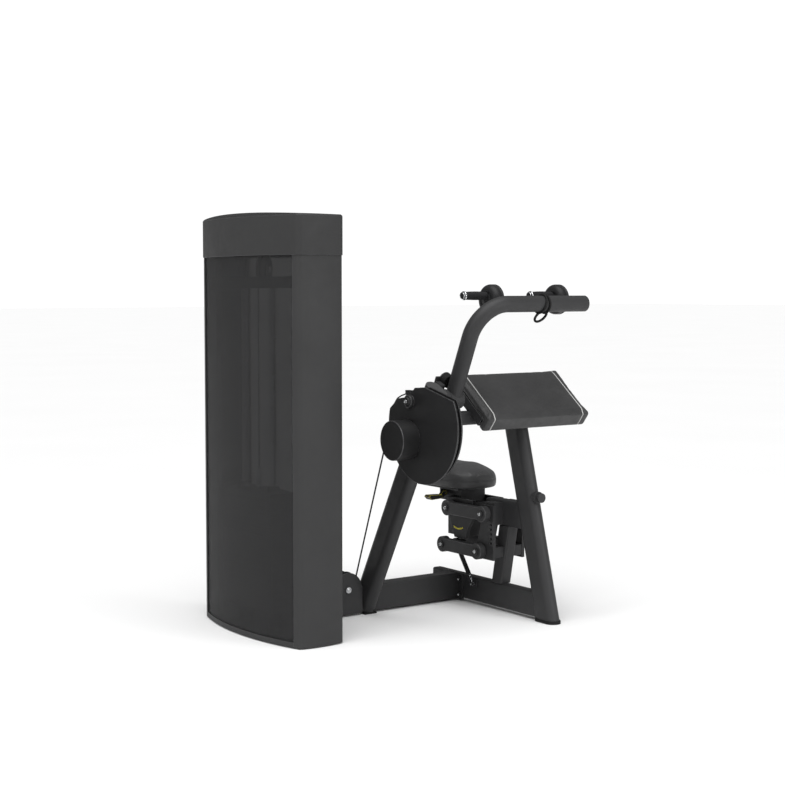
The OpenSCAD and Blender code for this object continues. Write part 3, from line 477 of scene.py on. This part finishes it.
def button_head(name, face, axis, radius, height):
    """Domed bolt head with a hexagon socket, standing on the point face."""
    axis, side, up = frame_along(axis)
    steps = 24
    face = Vector(face)

    def ring(along, size, six=False):
        points = []
        for k in range(steps):
            a = 2 * math.pi * k / steps
            reach = size
            if six:
                reach = size * math.cos(math.pi / 6) / math.cos((a % (math.pi / 3)) - math.pi / 6)
            points.append(face + axis * along + (side * math.cos(a) + up * math.sin(a)) * reach)
        return points

    dome = [(0.3, 1), (0.62, 0.95), (0.88, 0.8), (1, 0.6)]
    rings = [ring(-0.5 * MM, radius)] + [ring(height * rise, radius * size) for rise, size in dome]
    rings += [ring(height, radius * 0.5, True), ring(height * 0.25, radius * 0.47, True)]
    return loft(name, rings)


def add_bolts():
    """Socket heads on the ends of the CAD bolts and pins, and a boss round the pivot bolt."""
    head_h = 3.4 * MM
    through = 100 * MM
    for node in ("frame_bolts", "carrier_pins"):
        parts = []
        for low, high in islands(node):
            middle = (low + high) / 2
            radius = (high.z - low.z) / 2 * 0.5
            parts.append(button_head("head", (low.x, middle.y, middle.z), (-1, 0, 0), radius, head_h))
            if high.x - low.x > through:
                parts.append(button_head("head", (high.x, middle.y, middle.z), (1, 0, 0), radius, head_h))
        dress(steady_normals(merge(f"{node}_heads", parts)), BODY[node], "bolts")
    rail_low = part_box("pulley_plates")[0]
    parts = []
    for low, high in islands("pulley_axles"):
        middle = (low + high) / 2
        if low.y < rail_low.y + 1 * MM and high.y - low.y < through:
            parts.append(button_head("head", (middle.x, low.y, middle.z), (0, -1, 0), 8 * MM, head_h))
    if parts:
        dress(steady_normals(merge("pulley_bolt_heads", parts)), "frame", "bolts")
    low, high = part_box("pivot_shaft")
    middle = (low + high) / 2
    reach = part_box("cam_cover")[0].x - low.x
    boss = [(0, 3 * MM), (0, 13 * MM), (1.5 * MM, 14.5 * MM), (reach, 17 * MM), (reach + 2 * MM, 25 * MM),
            (reach + 8 * MM, 25 * MM), (reach + 8 * MM, 3 * MM)]
    dress(steady_normals(turned("pivot_boss", (low.x + 0.5 * MM, middle.y, middle.z), (1, 0, 0), boss, 64)),
          "arm", "dark_paint")
    head = button_head("pivot_bolt_head", (low.x, middle.y, middle.z), (-1, 0, 0), 7 * MM, 3 * MM)
    dress(steady_normals(head), "arm", "bolts")


# ---------- cushions ----------

def inset(outline, by):
    """A closed outline moved inwards; its points run anticlockwise."""
    moved = []
    count = len(outline)
    for i in range(count):
        a, b, c = (np.array(outline[(i + k) % count], float) for k in (-1, 0, 1))
        before = (b - a) / np.linalg.norm(b - a)
        after = (c - b) / np.linalg.norm(c - b)
        n1, n2 = np.array([-before[1], before[0]]), np.array([-after[1], after[0]])
        moved.append(b + by * (n1 + n2) / max(0.2, 1 + n1 @ n2))
    return moved


def fillet(outline, radius, steps=6):
    """Rounds each corner of a closed outline."""
    rounded = []
    count = len(outline)
    for i in range(count):
        a, b, c = (np.array(outline[(i + k) % count], float) for k in (-1, 0, 1))
        back, ahead = (a - b) / np.linalg.norm(a - b), (c - b) / np.linalg.norm(c - b)
        half = math.acos(max(-1, min(1, back @ ahead))) / 2
        reach = min(radius / math.tan(half), 0.45 * np.linalg.norm(a - b), 0.45 * np.linalg.norm(c - b))
        start, end = b + back * reach, b + ahead * reach
        for k in range(steps + 1):
            t = k / steps
            rounded.append((1 - t) ** 2 * start + 2 * t * (1 - t) * b + t * t * end)
    return rounded


def densify(outline, count):
    """Adds evenly spaced points along each side of a closed outline."""
    sides = zip(outline, outline[1:] + outline[:1])
    return [a + (b - a) * k / count for a, b in sides for k in range(count)]


def remesh(piece, voxel):
    modifier = piece.modifiers.new("remesh", "REMESH")
    modifier.mode = "VOXEL"
    modifier.voxel_size = voxel
    modifier.use_smooth_shade = True
    bake(piece)


def bake(piece):
    """Applies the modifiers to the mesh."""
    view = bpy.context.evaluated_depsgraph_get()
    mesh = bpy.data.meshes.new_from_object(piece.evaluated_get(view))
    old = piece.data
    piece.modifiers.clear()
    piece.data = mesh
    bpy.data.meshes.remove(old)


def inflate(piece, cap, held, pressure=4.0, frames=20):
    """Cloth pressure swells the cover; held(point, normal) is 1 where it stays flat and 0 where it is free."""
    mesh = piece.data
    rest = np.array([v.co for v in mesh.vertices])
    stay = np.array([held(v.co, v.normal) for v in mesh.vertices])
    group = piece.vertex_groups.new(name="held")
    for index, weight in enumerate(stay):
        if weight > 0:
            group.add([index], float(weight), "REPLACE")
    cloth = piece.modifiers.new("cloth", "CLOTH")
    cloth.settings.use_pressure = True
    cloth.settings.uniform_pressure_force = pressure
    cloth.settings.effector_weights.gravity = 0
    cloth.settings.vertex_group_mass = "held"
    cloth.settings.quality = 4
    cloth.point_cache.frame_start = 1
    cloth.point_cache.frame_end = frames
    for step in range(1, frames + 1):
        SCENE.frame_set(step)
    view = bpy.context.evaluated_depsgraph_get()
    swollen = np.array([v.co for v in piece.evaluated_get(view).data.vertices])
    piece.modifiers.clear()
    piece.vertex_groups.clear()
    SCENE.frame_set(1)
    move = (swollen - rest) * (1 - stay)[:, None]
    length = np.linalg.norm(move, axis=1)
    move *= (np.minimum(length, cap) / np.maximum(length, 1e-9))[:, None]
    mesh.vertices.foreach_set("co", (rest + move).astype(np.float32).ravel())
    mesh.update()


def relax(piece, times, factor=0.5):
    modifier = piece.modifiers.new("relax", "SMOOTH")
    modifier.iterations = times
    modifier.factor = factor
    bake(piece)


def subdivide(piece):
    modifier = piece.modifiers.new("finer", "SUBSURF")
    modifier.levels = 1
    modifier.render_levels = 1
    bake(piece)
    piece.data.shade_smooth()


def surface_tree(piece):
    return BVHTree.FromPolygons([v.co.copy() for v in piece.data.vertices],
                                [tuple(p.vertices) for p in piece.data.polygons])


def pinch(piece, distance, width, depth):
    """Draws the cover in along a seam; distance(point) is how far a point is from it."""
    mesh = piece.data
    for v in mesh.vertices:
        gap = distance(v.co) / width
        if abs(gap) < 3:
            v.co = v.co - v.normal * depth * math.exp(-gap * gap)
    mesh.update()


def pad_outline():
    """The elbow pad's section in the YZ plane, taken from the end face of its CAD solid."""
    shape = bmesh.new()
    shape.from_mesh(CAD["pad_cushion"].data)
    bmesh.ops.remove_doubles(shape, verts=shape.verts, dist=0.01 * MM)
    bmesh.ops.dissolve_limit(shape, angle_limit=0.01, verts=shape.verts, edges=shape.edges)
    end = min(shape.faces, key=lambda f: f.calc_center_median().x)
    outline = [(v.co.y, v.co.z) for v in end.verts]
    shape.free()
    area = sum(a[0] * b[1] - a[1] * b[0] for a, b in zip(outline, outline[1:] + outline[:1]))
    return outline if area > 0 else outline[::-1]


def add_pad():
    """Elbow pad: a foam slab with a folded front lip, swollen a little, with pale piping near both ends."""
    outline = pad_outline()
    low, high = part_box("pad_cushion")
    half = (high.x - low.x) / 2
    middle_x = (high.x + low.x) / 2
    start_in = 0.5 * MM
    end_round = 11 * MM
    stations = [-half + start_in + end_round * (1 - math.cos(a)) for a in np.linspace(0, math.pi / 2, 7)]
    stations += list(np.linspace(-half + start_in + end_round, half - start_in - end_round, 40))[1:-1]
    stations += [-s for s in stations[:7]][::-1]
    rings = []
    for s in stations:
        depth = max(0.0, end_round - (half - start_in - abs(s)))
        drawn = end_round - math.sqrt(max(0.0, end_round ** 2 - depth ** 2))
        ring = fillet(inset(outline, start_in + 0.75 * drawn), 9 * MM)
        rings.append([(middle_x + s, p[0], p[1]) for p in ring])
    pad = loft("elbow_pad", rings)
    remesh(pad, 5 * MM)
    relax(pad, 2)
    slope = math.radians(38.3)
    to_board = Vector((0, -math.sin(slope), -math.cos(slope)))
    inflate(pad, 5.5 * MM, lambda co, n: 1.0 if n.dot(to_board) > 0.8 else 0.0)
    subdivide(pad)
    seam_at = half - 35 * MM
    pinch(pad, lambda co: abs(abs(co.x - middle_x) - seam_at), 3.2 * MM, 1.6 * MM)
    dress(pad, "frame", "upholstery")
    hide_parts("pad_cushion")
    tree = surface_tree(pad)
    core = densify(inset(outline, 12 * MM), 24)
    wide = densify(inset(outline, -30 * MM), 24)
    for side, label in ((-1, "right"), (1, "left")):
        x = middle_x + side * seam_at
        path = []
        for far, near in zip(wide, core):
            start = Vector((x, far[0], far[1]))
            way = Vector((x, near[0], near[1])) - start
            hit = tree.ray_cast(start, way.normalized())[0]
            if hit is not None and (not path or (hit - path[-1]).length > 3 * MM):
                path.append(hit)
        rope = tube_loop(f"pad_piping_{label}", path, 2.0 * MM)
        dress(rope, "frame", "upholstery", PIPING)


def seat_height(t, table):
    """Straight-line look-up of a height along the seat, t from its nose to its back."""
    return float(np.interp(t, [row[0] for row in table], [row[1] for row in table])) * MM


SEAT_CROWN = [(0.0, 68), (0.06, 77), (0.23, 91), (0.35, 96), (0.55, 92), (0.8, 93), (1.0, 86)]
SEAT_RIDGE = [(0.0, 62), (0.1, 61), (0.3, 58), (0.5, 62), (0.75, 72), (1.0, 74)]


def add_seat_cushion():
    """Seat: a saddle with a round nose that falls away at the front and a raised back."""
    low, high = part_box("seat_cushion")
    middle_x = (low.x + high.x) / 2
    half = (high.x - low.x) / 2 - 3 * MM
    length = high.y - low.y - 6 * MM
    nose_y = low.y + 3 * MM
    steps = 120
    back_round = 50 * MM
    outline = []
    for k in range(steps):
        a = 2 * math.pi * k / steps
        x, y = math.cos(a), math.sin(a)
        if y < 0:
            outline.append((middle_x + half * x, nose_y + half + half * y))
        else:
            reach = length - half
            power = 2 / 6.5
            outline.append((middle_x + half * math.copysign(abs(x) ** power, x),
                            nose_y + half + reach * abs(y) ** power))
    centre = (middle_x, nose_y + length * 0.45)

    def ring(size, height):
        made = []
        for x, y in outline:
            px, py = centre[0] + (x - centre[0]) * size, centre[1] + (y - centre[1]) * size
            made.append((px, py, low.z + height((py - nose_y) / length, size)))
        return made

    def crown(t, size):
        edge, top = seat_height(t, SEAT_RIDGE), seat_height(t, SEAT_CROWN)
        return edge + (top - edge) * (1 - size ** 3.2) - 4 * MM

    def wall(rise):
        return lambda t, size: 2 * MM + rise * (seat_height(t, SEAT_RIDGE) - 6 * MM)

    rings = [ring(size, wall(0)) for size in (0.05, 0.4, 0.8, 0.94)]
    walls = ((0.03, 0.965), (0.12, 0.985), (0.3, 1.0), (0.55, 1.0), (0.8, 0.985), (0.95, 0.965))
    rings += [ring(size, wall(rise)) for rise, size in walls]
    rings += [ring(size, crown) for size in (0.94, 0.9, 0.8, 0.7, 0.6, 0.5, 0.4, 0.3, 0.2, 0.1, 0.03)]
    seat = loft("seat_pad", rings)
    remesh(seat, 5 * MM)
    relax(seat, 2)
    inflate(seat, 4 * MM, lambda co, n: 1.0 if co.z < low.z + 8 * MM or n.z < -0.7 else 0.0)
    subdivide(seat)
    for v in seat.data.vertices:
        v.co.z = max(v.co.z, low.z + 0.6 * MM)
    seam = low.z + 33 * MM
    pinch(seat, lambda co: co.z - seam, 2.2 * MM, 1.4 * MM)
    # The seat takes the lighter vinyl, painted light for the sheen on its top.
    dress(seat, "seat", "upholstery", FINISH["seat_cover"])
    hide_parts("seat_cushion")
    tree = surface_tree(seat)
    path = []
    for x, y in outline:
        start = Vector((centre[0] + (x - centre[0]) * 1.3, centre[1] + (y - centre[1]) * 1.3, seam))
        way = Vector((centre[0], centre[1], seam)) - start
        hit = tree.ray_cast(start, way.normalized())[0]
        if hit is not None:
            path.append(hit)
    dress(tube_loop("seat_seam_cord", path, 1.5 * MM, 8), "seat", "upholstery", DARK_PIPING)


# ---------- trim ----------

def add_handles():
    """Swivel handles: a domed disc and a ribbed grip with two plated rings and a black tip."""
    for side in ("left", "right"):
        low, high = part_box(f"{side}_handle_disc")
        radius = (high.z - low.z) / 2
        y, z = (low.y + high.y) / 2, (low.z + high.z) / 2
        wide = high.x - low.x
        bore = 9.4 * MM
        dome = 22 * MM
        profile = [(0, bore), (0, radius - dome - 12 * MM), (1 * MM, radius - dome - 11 * MM),
                   (1 * MM, radius - dome - 5 * MM), (0, radius - dome - 4 * MM)]
        profile += [(dome * (1 - math.cos(a)), radius - dome * (1 - math.sin(a)))
                    for a in np.linspace(0, math.pi / 2, 12)]
        seam = wide - 12 * MM
        profile += [(seam - 1 * MM, radius), (seam - 0.6 * MM, radius - 0.9 * MM),
                    (seam + 0.6 * MM, radius - 0.9 * MM), (seam + 1 * MM, radius)]
        profile += [(wide - 4 * MM * (1 - math.sin(a)), radius - 4 * MM * (1 - math.cos(a)))
                    for a in np.linspace(0, math.pi / 2, 6)]
        profile += [(wide, radius - 14 * MM), (wide - 1 * MM, radius - 15 * MM),
                    (wide - 1 * MM, radius - 24 * MM), (wide, radius - 25 * MM), (wide, bore)]
        disc = turned(f"{side}_disc", (low.x, y, z), (1, 0, 0), profile, 96)
        dress(disc, f"{side}_handle", "shroud")
        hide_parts(f"{side}_handle_disc")
        grip_low, grip_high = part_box(f"{side}_grip")
        gy, gz = (grip_low.y + grip_high.y) / 2, (grip_low.z + grip_high.z) / 2
        tip = 8 * MM
        ring_w = 6 * MM
        span = grip_high.x - grip_low.x - tip - ring_w
        profile = [(0, 13.5 * MM)]
        ribs = 26
        for i in range(ribs):
            a = span * (i + 0.1) / ribs
            pitch = span / ribs
            swell = 1.6 * MM * math.sin(math.pi * (i + 0.5) / ribs) - 0.6 * MM
            profile += [(a, 14.0 * MM + swell), (a + 0.2 * pitch, 15 * MM + swell),
                        (a + 0.6 * pitch, 15 * MM + swell)]
        profile += [(span, 13.5 * MM)]
        start = (grip_low.x + tip + ring_w, gy, gz)
        grip = turned(f"{side}_handle_grip", start, (1, 0, 0), profile, 48)
        dress(grip, f"{side}_handle", "grip")
        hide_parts(f"{side}_grip")
        ring = [(0, 12 * MM), (0, 15.8 * MM), (1 * MM, 17 * MM), (ring_w - 1 * MM, 17 * MM),
                (ring_w, 15.8 * MM), (ring_w, 12 * MM)]
        collar = turned(f"{side}_grip_ring", (grip_low.x + tip, gy, gz), (1, 0, 0), ring, 48)
        dress(collar, f"{side}_handle", "bolts", CHROME)
        rim = [(0, 10 * MM), (0, 12.8 * MM), (1 * MM, 13.6 * MM), (2 * MM, 13.6 * MM),
               (3 * MM, 12.8 * MM), (3 * MM, 10 * MM)]
        outer = turned(f"{side}_tip_ring", (grip_low.x + 1.5 * MM, gy, gz), (1, 0, 0), rim, 48)
        dress(outer, f"{side}_handle", "bolts", CHROME)
        cap = [(0, 4 * MM), (0.4 * MM, 8 * MM), (1.5 * MM, 10.6 * MM), (4 * MM, 11.6 * MM),
               (tip + 1 * MM, 12.4 * MM)]
        end = turned(f"{side}_grip_tip", (grip_low.x, gy, gz), (1, 0, 0), cap, 48)
        dress(end, f"{side}_handle", "grip")


def add_arm_loop():
    """Two thin strands around the arm tube and the loop that hangs from them."""
    low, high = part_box("tube_ring")
    tube_low, tube_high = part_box("arm_end_cap")
    centre = (tube_low + tube_high) / 2
    tube_r = (tube_high.z - tube_low.z) / 2
    middle_x = (low.x + high.x) / 2
    parts = []
    strand = 4 * MM
    for side in (-1, 1):
        path = []
        for k in range(64):
            a = 2 * math.pi * k / 64
            up, out = math.sin(a), math.cos(a)
            apart = side * (4.5 * MM + 9 * MM * (1 - up) / 2) - 4 * MM * (1 - up)
            reach = tube_r + strand
            path.append(Vector((middle_x + apart, centre.y + reach * out, centre.z + reach * up)))
        parts.append(tube_loop("strand", path, strand, 12))
    wide, tall = 27 * MM, 19 * MM
    loop_z = centre.z - tube_r - 2 * strand - tall + 12 * MM
    path = []
    for k in range(48):
        a = 2 * math.pi * k / 48
        along = wide * math.cos(a) + 10 * MM * math.sin(a)
        up = tall * math.sin(a) + 6 * MM * math.cos(a)
        path.append(Vector((middle_x - 14 * MM + along, centre.y - 2 * MM, loop_z + up)))
    parts.append(tube_loop("loop", path, 4.6 * MM, 12))
    ring = merge("arm_loop", parts)
    ring.data.shade_smooth()
    dress(ring, "arm", "dark_paint", FINISH["rubber"])
    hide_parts("tube_ring")


def add_shroud_band():
    """A plain yellow band across each seat cover."""
    low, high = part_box("seat_shroud")
    for x, out, label in ((low.x, -1, "right"), (high.x, 1, "left")):
        rings = []
        for k in range(25):
            t = k / 24
            y = low.y + 60 * MM + 58 * MM * t
            z = low.z + 36 * MM + 7 * MM * (2 * t - 1) ** 2
            tall = 3.2 * MM
            rings.append([(x - out * 0.5 * MM, y, z - tall), (x + out * 0.6 * MM, y, z - tall + 0.4 * MM),
                          (x + out * 0.6 * MM, y, z + tall - 0.4 * MM), (x - out * 0.5 * MM, y, z + tall)])
        band = loft(f"cover_band_{label}", rings)
        dress(steady_normals(band), "seat", "yellow")


# ---------- the CAD parts ----------

SOFT_EDGES = {
    "tower_base": 1.0, "front_column": 1.2, "rear_column": 1.2, "tower_cap": 4.0, "pulley_plates": 1.2,
    "base_rail": 1.0, "cross_rail": 1.0, "joint_flange": 1.2, "rubber_feet": 1.5, "arm_post": 1.0,
    "pad_post": 1.0, "end_caps": 1.5, "seat_post": 1.0, "seat_beam": 1.0, "cross_beam": 1.0,
    "bearing_housing": 1.2, "rest_stop": 2.0, "accessory_peg": 1.5, "cam": 1.0, "cam_cover": 1.6,
    "counterweight": 2.5, "arm_tube": 0.8, "handle_brackets": 1.2, "pad_board": 1.5, "seat_bracket": 1.2,
    "upper_links": 2.5, "lower_links": 2.5, "seat_carrier": 1.5, "seat_shroud": 2.0, "seat_pan": 1.5,
    "gas_cylinder": 1.0, "top_plate": 1.2, "frame_bolts": 0.8, "carrier_pins": 0.8, "floor_pulley": 0.6,
    "pivot_shaft": 1.2,
}


def add_frame():
    """Rounded copies of the outer parts; the rest keep their CAD shape and get a finish."""
    dark = FINISH["dark_paint"]
    cable = CAD["drive_cable"].modifiers.new("nylon_coat", "DISPLACE")
    cable.strength = 0.6 * MM
    cable.mid_level = 0
    for node, width in SOFT_EDGES.items():
        bare = SLOT[node] == "bolts"
        soften(node, width * MM, segments=3 if width > 2 else 2, face=dark if bare else None,
               edge=EDGE["dark_paint"] if bare else None)
    soften("release_lever", 2.2 * MM, face=FINISH["shroud"], edge=FINISH["yellow"])
    for node, part in CAD.items():
        if not part.hide_render:
            part.data.materials.clear()
            part.data.materials.append(FINISH[SLOT[node]])


add_camera()
add_studio()
add_frame()
add_pad()
add_seat_cushion()
add_handles()
add_arm_loop()
add_shroud_band()
add_bolts()
